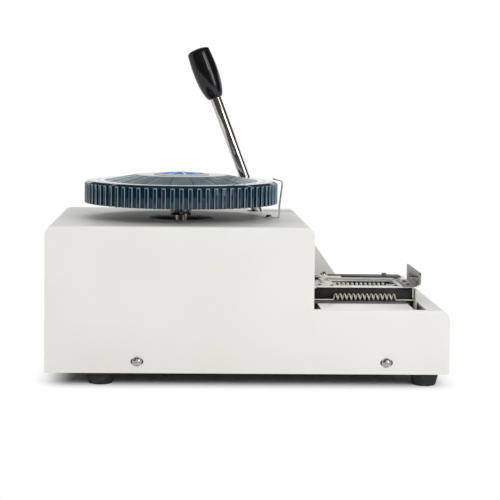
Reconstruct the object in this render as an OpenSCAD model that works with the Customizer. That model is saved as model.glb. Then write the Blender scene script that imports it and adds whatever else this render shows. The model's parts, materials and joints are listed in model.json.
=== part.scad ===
// Dog tag embossing machine: a hand-pulled press with a rotary type turret.
// X runs along the machine to the operator, Y across it to the lever side, Z up.
// The origin is at the centre of the footprint, on the table.

/* [Cover] */
// Length of the cover along X
case_l = 430; // [420:1:440]
// Width of the cover along Y
case_w = 255; // [250:1:262]
// Height of the tall part of the cover
tall_h = 156; // [155:1:158]
// Height of the low deck
deck_h = 69; // [68:1:70]
// X of the wall between the tall part and the deck
step_x = 70; // [69:1:71]
// Thickness of the cover's sheet
sheet = 2; // [1.5:0.1:2.2]
// Outer radius of the cover's two top bends across the tall part
bend_r = 10; // [6:1:12]

/* [Feet] */
// Height of the rubber feet
foot_h = 14.3; // [13:0.1:15]
// Diameter of a foot at its top
foot_top_d = 32.5; // [30:0.5:33]
// Diameter of a foot at the table
foot_low_d = 24.8; // [22:0.1:26]

/* [Dial] */
// X of the turret's axis
turret_x = -71.5; // [-72:0.1:-71]
// Y of the turret's axis
turret_y = -10; // [-11:0.1:-9]
// Outer radius of the dial over its ribs
dial_r = 109; // [107:0.1:110]
// Number of characters round the turret
characters = 72; // [72]
// Height of the dial's rim above the cover's lower edge
dial_h = 173.2; // [172:0.1:174]

/* [Press] */
// Radius of the ring of punches
type_r = 80; // [79.5:0.1:80]
// Height of the plane in which the tag lies above the cover's lower edge
tag_h = 90; // [89.9:0.1:90]
// Stroke of the ram
stroke = 3; // [2.5:0.1:3]

/* [Lever] */
// Height of the lever's cross shaft above the cover's lower edge
pivot_h = 85; // [84.5:0.1:85.5]
// X of the lever's cross shaft
pivot_x = 47.9; // [47.5:0.1:48.2]
// Y of the lever rod
lever_y = 89; // [88:0.5:90]
// Lean of the lever at rest, away from the operator
lean = 21; // [18:1:21]
// Length of the lever from its shaft to the top of the grip
lever_l = 283.4; // [260:0.1:290]
// Diameter of the lever rod
lever_d = 13; // [12:1:14]
// Angle through which the lever is pulled
pull = 65; // [50:1:65]

/* [Carriage] */
// Spacing of the notches of the line rack
line_pitch = 4.93; // [4.8:0.01:4.95]
// Number of lines
lines = 12; // [10:1:12]
// Number of coils of the carriage spring
spring_coils = 14; // [10:1:16]

/* [Hidden] */

$fn = 96;
// Overlap of two shapes that are joined into one solid
eps = 0.01;
// Gap between two faces that pass each other
gap = 0.3;

// Cover. Every height from here on counts from a datum 12 mm below the cover's lower edge, and
// raised() sets what is drawn from it on the feet.
floor_z = 12;
x_end = case_l / 2;
y_side = case_w / 2;
tall_z = floor_z + tall_h;
deck_z = floor_z + deck_h;
dial_z = floor_z + dial_h;
tag_z = floor_z + tag_h;
pivot_z = floor_z + pivot_h;
deck_bend_r = 12;
side_bend_r = 3;
// Round hole under the dial
top_hole_r = 37;
// Slot that the lever sweeps
slot_w = 18;
slot_x = [9, 105];
slot_z = 105;
// Wedge gusset beside the deck, on the lever side
gusset_y = [70, 110];
gusset_top = [step_x, tall_z - 12];
gusset_foot = [123, deck_z];
// Distance along X from the slope's outer face to its inner face
gusset_inset = 1.2 * sheet;
// Opening in the deck and in the wall above it
bay_x = [step_x, 190];
bay_y = [-124.6, 62];
mouth_y = [-104, 62];
mouth_z = 118;
// Side screws and their slots
case_screw_x = [-117, 148];
case_screw_z = floor_z + 12.4;
case_slot = [13.5, 7];
// Radius of the holes that the case and foot screws pass through
screw_hole_r = 2.7;
// Length across the corners of the screws' nuts, and their height
screw_nut = [9.2, 4];

// Base and feet
plate_t = 3;
base_gap = 0.5;
base_top = floor_z + plate_t;
flange_h = 24;
foot_x = [-156.5, 191.5];
// Thickness of the rubber between a foot's counterbore and the cover
foot_web = 7;
foot_y = 106;

// Turret, from the bottom up
spindle_r = 6;
fit = 0.05;
bush_r = 10;
spindle_z = [24, 214];
frame_arm_z = [137, 152];
frame_foot_z = [24, 36];
frame_w = 36;
arm_boss_r = 18;
pad_t = 8;
bolt_r = 4;
turret_bolts = [[-197, -36], [-197, 16], [-40, -36], [-40, 16]];
press_bolts = [[4, 76], [38, 76], [32, -16]];
bracket_bolts = [[26, 112], [70, 112]];
bracket_t = 4;
bolt_places = concat(turret_bolts, press_bolts, bracket_bolts);
bolt_seats = concat([for (p = turret_bolts) base_top + pad_t],
    [for (p = press_bolts) base_top + pad_t],
    [for (p = bracket_bolts) base_top + bracket_t]);
shoulder_z = 44;
index_z = 50;
index_t = 8;
index_r = 60;
notch_w = 4.4;
notch_d = 2.2;
die_wheel_z = 78;
wheel_t = 14;
wheel_r = 83;
punch_wheel_z = 106;
// The punches and dies leave this gap on each side of the tag's plane
type_gap = 1.8;
punch_top = 124;
die_low = 72;
// Width of a punch or die
type_w = 3;
nut_h = 8;
collar_z = [171.3, 188.4];
collar_r = 12;

// Dial
rib_w = 3.9;
rib_h = 2.8;
rib_top = dial_z + 22.2;
ring_z = dial_z + 24.8;
ring_r = [87, 104.5];
cap_r = 51;
cap_z = dial_z + 31.4;
dial_wall = 3.6;
label_r = 31.5;
panels = 20;
// Radius of the rim between the ribs, and width of the gaps between them
rim_r = dial_r - rib_h;
rib_gap = 2 * PI * dial_r / characters - rib_w;
cone_slope = atan2(cap_z - ring_z, ring_r[0] - cap_r);
cone_l = norm([cap_z - ring_z, ring_r[0] - cap_r]);
pointer_screw_x = 27.9;

// Detent
roller_r = 2.5;
roller_y = turret_y - index_r - roller_r - gap;
detent_pivot = [-30, -80];
detent_z = [43, 49];
detent_tail = [turret_x - 14, roller_y - 4];
detent_anchor = [-96, -96];

// Press
punch_x = turret_x + type_r;
ram_r = 7;
deck_plate_z = [128, 138];
ram_head_z = 145;
rocker_x = 28;
rocker_z = 152;
rocker_nose_r = 4;
cam_y = [68, 76];
cam_r = 16;
push_rod_top = 146.7;
column_x = [-4, 46];
column_y = [48, 66];
shaft_r = 6;
shaft_bush_r = 8;
shaft_y = [46, 114];

// Lever
grip_l = 62.7;
grip_d = [17.7, 29.6];
grip_dome = 4;
hub_r = 15;
// Eye of the hub's tail, and the post that its return spring hooks on
tail_l = 25;
tail_x = pivot_x + tail_l * sin(lean);
tail_z = pivot_z - tail_l * cos(lean);
lever_anchor = [150, lever_y];
outer_bearing_y = [102, 108];

// Carriage
line_travel = line_pitch * (lines - 1);
carriage_x = [68, 188];
carriage_y = [-62, 40];
carriage_z = [96, 98];
window = [[99, -57.5], [169, -57.5], [169, -8], [99, -8]];
bed_z = [79, 81];
bed_x = [78, 177];
rod_r = 4;
rod_z = 89;
rod_y = [-46, 26];
rod_x = [58, 176];
rack_x = [99, 159];
rack_y = [-38, -33];
rack_low = 88;
rack_top = 97.8;
first_notch_x = 104;
spring_y = -66;
spring_z = 86.3;
spring_wire = 1.5;
spring_mean_r = 3.25;
spring_end_x = [69, 187.5];
coil_x = [97, 166];
slide_x = [99.7, 171.9];
slide_y = [-9, 22];
slide_z = [98.3, 99.6];
bracket_x = 186.5;
guide_screw = [98, -74];
latch_pivot = [-26, 84.5];
end_screw_x = 180.8;
end_screw_y = [-28.5, -56];
// Radius of the holes for the carriage's small screws
small_hole_r = 1.6;
pawl_pivot = [76, 30];
letter_pitch = 3;
letter_rack_x = [85.5, 91];
jaw_y = [-9, -1];
jaw_z = [tag_z - 1.1, tag_z + 1.1];
clamp_screw_at = [[92, -5], [164.4, 17]];
clamp_bar_t = 1.2;
// Screws that hold the rack and the front runner under the plate
plate_screw_at = [[82.2, -56], [95.6, -59.7], [167, -59.7]];
// Depth of the painted groove in the end plate
mark_d = 1.2;

// Basic shapes

module raised() {
    translate([0, 0, foot_h - floor_z]) children();
}

// Extrudes an outline drawn in X and Z along Y
module along_y(y0, y1) {
    translate([0, y1, 0]) rotate([90, 0, 0]) linear_extrude(y1 - y0) children();
}

// Extrudes an outline drawn in Y and Z along X
module along_x(x0, x1) {
    translate([x0, 0, 0]) rotate([90, 0, 90]) linear_extrude(x1 - x0) children();
}

module box(x, y, z) {
    translate([x[0], y[0], z[0]]) cube([x[1] - x[0], y[1] - y[0], z[1] - z[0]]);
}

module rod_along_x(r, x0, x1, y, z) {
    translate([x0, y, z]) rotate([0, 90, 0]) cylinder(r = r, h = x1 - x0);
}

module rod_along_y(r, y0, y1, x, z) {
    translate([x, y0, z]) rotate([-90, 0, 0]) cylinder(r = r, h = y1 - y0);
}

module ring(r_out, r_in, z0, z1) {
    difference() {
        translate([0, 0, z0]) cylinder(r = r_out, h = z1 - z0);
        translate([0, 0, z0 - 1]) cylinder(r = r_in, h = z1 - z0 + 2);
    }
}

module at_turret() {
    translate([turret_x, turret_y, 0]) children();
}

// Rectangle with its two upper corners rounded
module arch(x0, x1, z0, z1, r_left, r_right) {
    translate([x0, z0]) square([x1 - x0, z1 - z0 - max(r_left, r_right)]);
    translate([x0 + r_left, z0]) square([x1 - x0 - r_left - r_right, z1 - z0]);
    translate([x0, z0]) square([r_left + eps, z1 - z0 - r_left]);
    translate([x1 - r_right - eps, z0]) square([r_right + eps, z1 - z0 - r_right]);
    translate([x0 + r_left, z1 - r_left]) circle(r_left);
    translate([x1 - r_right, z1 - r_right]) circle(r_right);
}

// Round-head screw along +Z from its head's seat downwards, with a cross recess in the head
module cross_screw(head_r, head_h, shank_r, shank_l) {
    recess_w = head_r * 0.26;
    difference() {
        intersection() {
            translate([0, 0, head_h - dome_r(head_r, head_h)]) sphere(dome_r(head_r, head_h));
            cylinder(r = head_r + 1, h = head_h + 1);
        }
        for (turn = [0, 90]) rotate(turn)
            translate([-head_r * 0.6, -recess_w / 2, head_h * 0.45])
                cube([head_r * 1.2, recess_w, head_h]);
    }
    translate([0, 0, -shank_l]) cylinder(r = shank_r, h = shank_l + eps);
}

// Radius of the sphere whose cap has the given radius and height
function dome_r(r, h) = (r * r + h * h) / (2 * h);

// A wire swept along a row of points, as one closed skin.
// Each ring of six points is turned by its own outward vector.
function unit(v) = v / norm(v);
function direction(points, i) =
    unit(points[min(i + 1, len(points) - 1)] - points[max(i - 1, 0)]);
function outward(v, along) = unit(v - (v * along) * along);

module wire(points, outs, wire_r) {
    sides = 6;
    last = len(points) - 1;
    rings = [for (i = [0:last], s = [0:sides - 1])
        let (along = direction(points, i), out = outward(outs[i], along), side = cross(along, out))
        points[i] + wire_r * (cos(60 * s) * out + sin(60 * s) * side)];
    skin = [for (i = [0:last - 1], s = [0:sides - 1])
        let (a = i * sides + s, b = i * sides + (s + 1) % sides)
        each [[a, b, a + sides], [b, b + sides, a + sides]]];
    low_cap = [for (s = [1:sides - 2]) [0, s + 1, s]];
    high_cap = [for (s = [1:sides - 2]) [last * sides, last * sides + s, last * sides + s + 1]];
    polyhedron(concat(rings, []), concat(skin, low_cap, high_cap), convexity = 10);
}

// Coil about X that starts and ends at its lowest point, with a straight end along X on each side
function coil_points(x, r, wire_d, ends, coils) = concat(
    [[ends[0], 0, -r], [ends[0] + wire_d, 0, -r], [x[0] - 0.8 * wire_d, 0, -r]],
    helix_points(x, r, coils),
    [[x[1] + 0.8 * wire_d, 0, -r], [ends[1] - wire_d, 0, -r], [ends[1], 0, -r]]);
function helix_points(x, r, coils) = [for (i = [0:8 * coils]) let (a = 45 * i - 90)
    [x[0] + (x[1] - x[0]) * i / (8 * coils), r * cos(a), r * sin(a)]];
function helix_outs(coils) = [for (i = [0:8 * coils]) let (a = 45 * i - 90) [0, cos(a), sin(a)]];
function straight_outs() = [for (i = [0:2]) [0, 0, -1]];
// Least distance between points of the wire that are at least half a coil apart
function least_gap(points, wire_d) = min([for (i = [0:len(points) - 6], j = [i + 5:len(points) - 1])
    norm(points[i] - points[j])]) - wire_d;

module coil(x, r, wire_d, ends, coils) {
    points = coil_points(x, r, wire_d, ends, coils);
    echo(least_gap = least_gap(points, wire_d), triangles = 12 * len(points));
    wire(points, concat(straight_outs(), helix_outs(coils), straight_outs()), wire_d / 2);
}

// Cover and base

module case_side_bends(z1) {
    along_x(-x_end - 1, x_end + 1) arch(-y_side, y_side, floor_z, z1, side_bend_r, side_bend_r);
}

// Wedge between the wall and the deck, in X and Z
module gusset_outline() {
    x_in = step_x - 2 * sheet;
    z_in = deck_z - 2 * sheet;
    polygon([[x_in, z_in], [gusset_foot[0], z_in], gusset_foot, gusset_top, [x_in, gusset_top[1]]]);
}

module case_outside() {
    intersection() {
        along_y(-y_side, y_side) arch(-x_end, step_x, floor_z, tall_z, bend_r, bend_r);
        case_side_bends(tall_z);
    }
    intersection() {
        along_y(-y_side, y_side) arch(-x_end + 20, x_end, floor_z, deck_z, deck_bend_r, deck_bend_r);
        case_side_bends(deck_z);
    }
    along_y(gusset_y[0], gusset_y[1]) gusset_outline();
}

module case_inside() {
    low = floor_z - 1;
    y = [-y_side + sheet, y_side - sheet];
    box([-x_end + sheet, step_x - sheet], y, [low, tall_z - bend_r]);
    box([-x_end + bend_r, step_x - bend_r], y, [low, tall_z - sheet]);
    for (x = [-x_end + bend_r, step_x - bend_r])
        rod_along_y(bend_r - sheet, y[0], y[1], x, tall_z - bend_r);
    box([step_x - 2 * sheet, x_end - sheet], y, [low, deck_z - deck_bend_r]);
    box([step_x - 2 * sheet, x_end - deck_bend_r], y, [low, deck_z - sheet]);
    rod_along_y(deck_bend_r - sheet, y[0], y[1], x_end - deck_bend_r, deck_z - deck_bend_r);
    along_y(gusset_y[0] + sheet, gusset_y[1] - sheet) translate([-gusset_inset, 0]) gusset_outline();
}

module housing() color([0.93, 0.925, 0.90]) raised() difference() {
    case_outside();
    case_inside();
    at_turret() translate([0, 0, tall_z - bend_r]) cylinder(r = top_hole_r, h = 2 * bend_r);
    box(slot_x, [lever_y - slot_w / 2, lever_y + slot_w / 2], [slot_z, tall_z + 1]);
    box([bay_x[0] - eps, bay_x[1]], bay_y, [deck_z - 2 * sheet, deck_z + 1]);
    box([step_x - 2 * sheet, step_x + eps], mouth_y, [deck_z - sheet - eps, mouth_z]);
    for (x = case_screw_x) for (y = [-y_side, y_side])
        translate([x, y, case_screw_z]) rotate([90, 0, 0])
            slot_cutter(case_slot[0], case_slot[1], 4 * sheet);
}

// Obround cutter, centred, lying along X
module slot_cutter(length, width, depth) {
    linear_extrude(depth, center = true) {
        square([length - width, width], center = true);
        for (s = [-1, 1]) translate([s * (length - width) / 2, 0]) circle(width / 2);
    }
}

module base_plate() color([0.55, 0.56, 0.57]) raised() difference() {
    y_in = y_side - sheet - base_gap;
    x_in = x_end - sheet - base_gap;
    union() {
        box([-x_in, x_in], [-y_in, y_in], [floor_z, base_top]);
        for (s = [-1, 1]) translate([0, s * (y_in - sheet / 2), floor_z])
            translate([-x_in, -sheet / 2, 0]) cube([2 * x_in, sheet, flange_h]);
    }
    for (x = case_screw_x) for (s = [-1, 1])
        rod_along_y(screw_hole_r, s * y_in - 4, s * y_in + 4, x, case_screw_z);
    for (x = foot_x) for (y = [-foot_y, foot_y])
        translate([x, y, floor_z - 1]) cylinder(r = screw_hole_r, h = plate_t + 2);
    for (p = bolt_places) translate([p[0], p[1], floor_z - 1]) cylinder(r = bolt_r + 0.2, h = plate_t + 2);
}

module feet() color([0.06, 0.06, 0.065]) {
    for (x = foot_x) for (y = [-foot_y, foot_y]) translate([x, y, 0]) difference() {
        cylinder(d1 = foot_low_d, d2 = foot_top_d, h = foot_h);
        translate([0, 0, -1]) cylinder(r = 6.2, h = foot_h - foot_web + 1);
        translate([0, 0, -1]) cylinder(r = screw_hole_r, h = foot_h + 2);
    }
}

module foot_screws() color([0.7, 0.7, 0.7]) raised() {
    for (x = foot_x) for (y = [-foot_y, foot_y]) translate([x, y, 0]) {
        translate([0, 0, floor_z - foot_web]) mirror([0, 0, 1]) cross_screw(5.2, 2.8, 2.5, 14);
        translate([0, 0, base_top]) cylinder(d = screw_nut[0], h = screw_nut[1], $fn = 6);
    }
}

module case_screws() color([0.8, 0.8, 0.8]) raised() {
    for (x = case_screw_x) for (s = [-1, 1]) translate([x, s * y_side, case_screw_z])
        rotate([-90 * s, 0, 0]) cross_screw(5.5, 3.6, 2.5, 12);
}

module case_nuts() color([0.7, 0.7, 0.7]) raised() {
    y_in = y_side - sheet - base_gap - sheet;
    for (x = case_screw_x) for (s = [-1, 1]) difference() {
        translate([x, s * y_in, case_screw_z]) rotate([90 * s, 0, 0])
            cylinder(d = screw_nut[0], h = screw_nut[1], $fn = 6);
        rod_along_y(2.5, s * y_in - 6, s * y_in + 6, x, case_screw_z);
    }
}

// Turret frame

module bolt_holes(places, z1) {
    for (p = places) translate([p[0], p[1], floor_z]) cylinder(r = bolt_r + 0.2, h = z1 - floor_z);
}

module turret_frame() color([0.30, 0.33, 0.35]) raised() difference() {
    union() {
        along_y(turret_y - frame_w / 2, turret_y + frame_w / 2) polygon([
            [-192, base_top], [turret_x + 26, base_top], [turret_x + 26, frame_foot_z[1]],
            [-160, frame_foot_z[1]], [-160, frame_arm_z[0]], [turret_x, frame_arm_z[0]],
            [turret_x, frame_arm_z[1]], [-180, frame_arm_z[1]], [-192, frame_arm_z[1] - 12]]);
        box([-205, -30], [turret_y - 34, turret_y + 34], [base_top, base_top + pad_t]);
        at_turret() translate([0, 0, frame_arm_z[0]])
            cylinder(r = arm_boss_r, h = frame_arm_z[1] - frame_arm_z[0]);
    }
    at_turret() translate([0, 0, base_top + pad_t - 1]) cylinder(r = bush_r, h = tall_z);
    bolt_holes(turret_bolts, base_top + 2 * pad_t);
}

module spindle_bushes() color([0.72, 0.55, 0.25]) raised() at_turret() {
    for (z = [frame_arm_z, frame_foot_z]) difference() {
        union() {
            translate([0, 0, z[0]]) cylinder(r = bush_r, h = z[1] - z[0] + eps);
            translate([0, 0, z[1]]) cylinder(r = bush_r + 3, h = 2);
        }
        translate([0, 0, z[0] - 1]) cylinder(r = spindle_r + fit, h = 40);
    }
}

// Press frame

module press_frame() color([0.30, 0.33, 0.35]) raised() difference() {
    arm_y = turret_y - 14;
    union() {
        box(column_x, column_y, [base_top, deck_plate_z[1]]);
        box([column_x[0], punch_x + 13], [arm_y, column_y[1]], [base_top, 56]);
        box([column_x[0], column_x[1] - 6], [arm_y, column_y[1]], deck_plate_z);
        box(column_x, [arm_y - 4, column_y[1] + 18], [base_top, base_top + pad_t]);
        rod_along_y(hub_r - 1, column_y[0], column_y[1], pivot_x, pivot_z);
        for (y = [[18, 32], [50, 64]]) {
            rod_along_y(9, y[0], y[1], rocker_x, rocker_z);
            box([rocker_x - 9, rocker_x + 9], y, [deck_plate_z[1] - 1, rocker_z]);
        }
        box([column_x[1] - 8, pivot_x + 8], [column_y[1] - 1, cam_y[1] + 4], deck_plate_z);
    }
    translate([punch_x, turret_y, 100]) cylinder(r = ram_r + fit, h = 60);
    translate([punch_x, turret_y, 40]) cylinder(r = 5, h = 30);
    rod_along_y(shaft_bush_r, column_y[0] - 20, column_y[1] + 1, pivot_x, pivot_z);
    rod_along_y(5 + fit, 10, 70, rocker_x, rocker_z);
    translate([pivot_x, (cam_y[0] + cam_y[1]) / 2, 110]) cylinder(r = 4 + fit, h = 60);
    bolt_holes(press_bolts, base_top + 2 * pad_t);
}

module anvil() color([0.62, 0.63, 0.65]) raised() translate([punch_x, turret_y, 0]) {
    translate([0, 0, 44]) cylinder(r = 5, h = 13);
    translate([0, 0, 56]) cylinder(r = 10, h = 12);
    translate([-5, -5, 67]) cube([10, 10, die_low - gap - 67]);
}

module lever_bracket() color([0.42, 0.43, 0.45]) raised() difference() {
    union() {
        along_y(outer_bearing_y[0], outer_bearing_y[1]) {
            translate([pivot_x - 14, base_top]) square([28, pivot_z - base_top]);
            translate([pivot_x, pivot_z]) circle(14);
        }
        box([pivot_x - 30, pivot_x + 30], [outer_bearing_y[0], 121], [base_top, base_top + bracket_t]);
    }
    rod_along_y(shaft_bush_r, outer_bearing_y[0] - 1, outer_bearing_y[1] + 1, pivot_x, pivot_z);
    bolt_holes(bracket_bolts, base_top + 2 * bracket_t);
}

module lever_bushes() color([0.72, 0.55, 0.25]) raised() {
    for (y = [column_y, outer_bearing_y]) difference() {
        rod_along_y(shaft_bush_r, y[0], y[1], pivot_x, pivot_z);
        rod_along_y(shaft_r + fit, y[0] - 1, y[1] + 1, pivot_x, pivot_z);
    }
}

module frame_bolts() color([0.25, 0.25, 0.27]) raised() {
    for (i = [0:len(bolt_places) - 1]) translate([bolt_places[i][0], bolt_places[i][1], 0]) {
        translate([0, 0, bolt_seats[i]]) cylinder(r = 7.2, h = 5, $fn = 6);
        translate([0, 0, floor_z + 0.4]) cylinder(r = bolt_r, h = bolt_seats[i] - floor_z);
    }
}

// Carriage bed

module bed_plate() color([0.86, 0.88, 0.90]) raised() difference() {
    union() {
        linear_extrude_at(bed_z) polygon([[56, -52], [bed_x[0], -52], [bed_x[0], -124], [bed_x[1], -124],
            [bed_x[1], 44], [56, 44]]);
        for (x = [bed_x[0], bed_x[1] - 2]) box([x, x + 2], [-118, 44], [base_top, bed_z[0] + eps]);
        for (x = [first_notch_x - 3, first_notch_x + 1.4])
            box([x, x + 1.6], [latch_pivot[0] - 4, latch_pivot[0] + 4],
                [bed_z[1] - eps, latch_pivot[1] + 3.5]);
    }
    rod_along_x(1.5, first_notch_x - 4, first_notch_x + 4, latch_pivot[0], latch_pivot[1]);
    translate([guide_screw[0], guide_screw[1], bed_z[0] - 1]) cylinder(r = small_hole_r, h = 4);
}

module linear_extrude_at(z) {
    translate([0, 0, z[0]]) linear_extrude(z[1] - z[0]) children();
}

module spring_tray() color([0.34, 0.35, 0.35]) raised() difference() {
    box([70.5, bed_x[1] - 1], [-82, -60.4], [bed_z[1], bed_z[1] + 1]);
    translate([guide_screw[0], guide_screw[1], bed_z[1] - 1]) cylinder(r = small_hole_r, h = 4);
}

module apron_bar() color([0.10, 0.10, 0.105]) raised()
    box([56.5, bracket_x - 1], [-60, -55], [bed_z[1], carriage_z[0] - gap]);

module guide_rods() color([0.80, 0.80, 0.80]) raised() {
    for (y = rod_y) rod_along_x(rod_r, rod_x[0], rod_x[1], y, rod_z);
}

module rod_blocks() color([0.45, 0.46, 0.48]) raised() {
    for (x = [rod_x[0], rod_x[1] - 5]) for (y = rod_y) difference() {
        box([x, x + 5], [y - 7, y + 7], [bed_z[1], carriage_z[0] - gap]);
        rod_along_x(rod_r, x - 1, x + 6, y, rod_z);
    }
}

module spring_bracket() color([0.80, 0.80, 0.78]) raised() difference() {
    union() {
        box([bracket_x, bracket_x + 2], [spring_y - 5, spring_y + 7], [base_top, carriage_z[0] - 0.4]);
        box([bracket_x - 9, bracket_x + 2], [spring_y - 5, spring_y + 7], [base_top, base_top + 2]);
    }
    rod_along_x(1, bracket_x - 1, bracket_x + 3, spring_y, spring_z - spring_mean_r);
}

module spring_guide_screw() color([0.80, 0.60, 0.25]) raised()
    translate([guide_screw[0], guide_screw[1], bed_z[1] + 1]) cross_screw(3.4, 1.8, 1.5, 6);

module carriage_spring() color([0.85, 0.84, 0.80]) raised() translate([0, spring_y, spring_z])
    coil(coil_x, spring_mean_r, spring_wire, spring_end_x, spring_coils);

// Pointer

module pointer() color([0.72, 0.73, 0.72]) raised() difference() {
    along_y(turret_y - 5, turret_y + 5) polygon([
        [22.1, tall_z], [40.1, tall_z], [40.9, 183], [43.9, 207.2], [42.6, 210.4], [32.4, 213.2],
        [32.1, 212], [41.6, 209.4], [42.5, 207.1], [39.5, 183], [38.8, tall_z + 1.4],
        [22.1, tall_z + 1.4]]);
    translate([pointer_screw_x, turret_y, tall_z - 1]) cylinder(r = 2.1, h = 4);
}

module pointer_screw() color([0.75, 0.75, 0.75]) raised()
    translate([pointer_screw_x, turret_y, tall_z + 1.4]) cross_screw(4, 2.6, 2, 1.2);

// Detent

module spring_posts() color([0.6, 0.6, 0.62]) raised() {
    translate([detent_pivot[0], detent_pivot[1], base_top]) cylinder(r = 4, h = 37);
    translate([detent_pivot[0], detent_pivot[1], base_top])
        cylinder(r = 9, h = detent_z[0] - gap - base_top);
    translate([detent_anchor[0], detent_anchor[1], base_top]) cylinder(r = 3, h = 37);
    translate([lever_anchor[0], lever_anchor[1], base_top]) cylinder(r = 4, h = 56);
}

module detent_arm() color([0.45, 0.46, 0.48]) raised() difference() {
    union() {
        hull() {
            for (p = [[detent_pivot, 8], [[turret_x, roller_y], 4], [detent_tail, 3]])
                translate([p[0][0], p[0][1], detent_z[0]]) cylinder(r = p[1], h = 6, $fn = 32);
        }
        translate([turret_x, roller_y, detent_z[1] - eps]) cylinder(r = roller_r, h = 9);
    }
    translate([detent_pivot[0], detent_pivot[1], detent_z[0] - 1]) cylinder(r = 4 + fit, h = 10);
}

module detent_spring() color([0.7, 0.7, 0.7]) raised() {
    run = detent_tail - detent_anchor;
    translate([detent_anchor[0], detent_anchor[1], detent_z[0] + 3]) rotate(atan2(run[1], run[0]))
        coil([6.5, 15], 2.2, 0.9, [3.4, norm(run) - 3.4], 5);
}

// Turret

module dial() color([0.10, 0.235, 0.305]) raised() at_turret() difference() {
    union() {
        dial_shell();
        translate([0, 0, collar_z[1]]) cylinder(r = 18, h = cap_z - dial_wall - collar_z[1] + 1);
        for (k = [0:5]) rotate(60 * k) box([16, 52], [-1.2, 1.2], [collar_z[1] + 8, cap_z - dial_wall + 1]);
    }
    translate([0, 0, dial_z]) cylinder(r = spindle_r + fit, h = 50);
    translate([0, 0, cap_z - 8]) cylinder(r = 13, h = 10);
    translate([0, 0, dial_z - 1]) linear_extrude(rib_top - dial_z + 1)
        for (k = [0:characters - 1]) rotate((k + 0.5) * 360 / characters)
            translate([rim_r, -rib_gap / 2]) square([2 * rib_h, rib_gap]);
    for (k = [0:panels - 1]) rotate((k + 0.5) * 360 / panels)
        translate([cap_r + 1, -0.6, cap_z]) rotate([0, cone_slope, 0])
            translate([0, 0, -1]) cube([cone_l - 2, 1.2, 2]);
}

module dial_shell() rotate_extrude() polygon([
    [dial_r, dial_z], [dial_r, rib_top + 0.8], [ring_r[1], ring_z], [ring_r[0], ring_z],
    [cap_r, cap_z], [0, cap_z], [0, cap_z - dial_wall], [cap_r - 2, cap_z - dial_wall],
    [ring_r[0] - 2, ring_z - dial_wall], [ring_r[1] - 3, ring_z - dial_wall],
    [rim_r - dial_wall, rib_top - 3], [rim_r - dial_wall, dial_z]]);

module dial_label() color([0.10, 0.45, 0.78]) raised() at_turret()
    translate([0, 0, cap_z]) cylinder(r = label_r, h = 0.6);

module dial_nut() color([0.7, 0.7, 0.7]) raised() at_turret() difference() {
    translate([0, 0, cap_z - 8]) cylinder(r = 11, h = 6, $fn = 6);
    cylinder(r = spindle_r, h = 300);
}

module dial_collar() color([0.80, 0.80, 0.80]) raised() at_turret() difference() {
    ring(collar_r, spindle_r, collar_z[0], collar_z[1]);
    translate([0, 0, collar_z[0] + 5]) rotate([90, 0, 0]) cylinder(r = 1.8, h = 20);
}

module spindle() color([0.72, 0.73, 0.74]) raised() at_turret() {
    translate([0, 0, spindle_z[0]]) cylinder(r = spindle_r, h = spindle_z[1] - spindle_z[0]);
    translate([0, 0, shoulder_z]) cylinder(r = 13, h = index_z - shoulder_z);
}

module type_wheel(z) {
    at_turret() translate([0, 0, z]) difference() {
        cylinder(r = wheel_r, h = wheel_t);
        translate([0, 0, -1]) cylinder(r = spindle_r, h = wheel_t + 2);
        translate([0, 0, wheel_t - 5]) ring(64, 24, 0, 6);
        translate([0, 0, -1]) linear_extrude(wheel_t + 2)
            for (k = [0:characters - 1]) rotate(k * 360 / characters)
                translate([type_r - 3, -type_w / 2]) square([20, type_w]);
    }
}

module type_ring(z0, z1) {
    at_turret() for (k = [0:characters - 1]) rotate(k * 360 / characters)
        translate([type_r - 2.9, -type_w / 2 + 0.1, z0]) cube([5.8, type_w - 0.2, z1 - z0]);
}

module punch_wheel() color([0.50, 0.51, 0.53]) raised() type_wheel(punch_wheel_z);

module punches() color([0.75, 0.75, 0.76]) raised() type_ring(tag_z + type_gap, punch_top);

module die_wheel() color([0.50, 0.51, 0.53]) raised() type_wheel(die_wheel_z);

module dies() color([0.75, 0.75, 0.76]) raised() type_ring(die_low, tag_z - type_gap);

module index_wheel() color([0.55, 0.56, 0.58]) raised() at_turret()
    linear_extrude_at([index_z, index_z + index_t]) difference() {
        circle(index_r);
        circle(spindle_r);
        for (k = [0:characters - 1]) rotate(k * 360 / characters)
            polygon([[index_r - notch_d, 0], [index_r + 1, -notch_w / 2 * (1 + 1 / notch_d)],
                [index_r + 1, notch_w / 2 * (1 + 1 / notch_d)]]);
    }

module wheel_spacers() color([0.6, 0.6, 0.62]) raised() at_turret() {
    ring(14, spindle_r, index_z + index_t, die_wheel_z);
    ring(14, spindle_r, die_wheel_z + wheel_t, punch_wheel_z);
}

module wheel_nut() color([0.65, 0.65, 0.66]) raised() at_turret() difference() {
    translate([0, 0, punch_wheel_z + wheel_t]) cylinder(r = 13, h = nut_h, $fn = 6);
    cylinder(r = spindle_r, h = 300);
}

// Lever

module at_lever() {
    translate([pivot_x, lever_y, pivot_z]) rotate([0, -lean, 0]) children();
}

module lever_rod() color([0.80, 0.79, 0.76]) raised() at_lever()
    translate([0, 0, shaft_r + 1]) cylinder(d = lever_d, h = lever_l - 12 - shaft_r - 1);

module lever_grip() color([0.03, 0.03, 0.035]) raised() at_lever() difference() {
    rotate_extrude() polygon(grip_outline());
    translate([0, 0, lever_l - grip_l - 1]) cylinder(d = lever_d, h = grip_l - 11);
}

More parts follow.
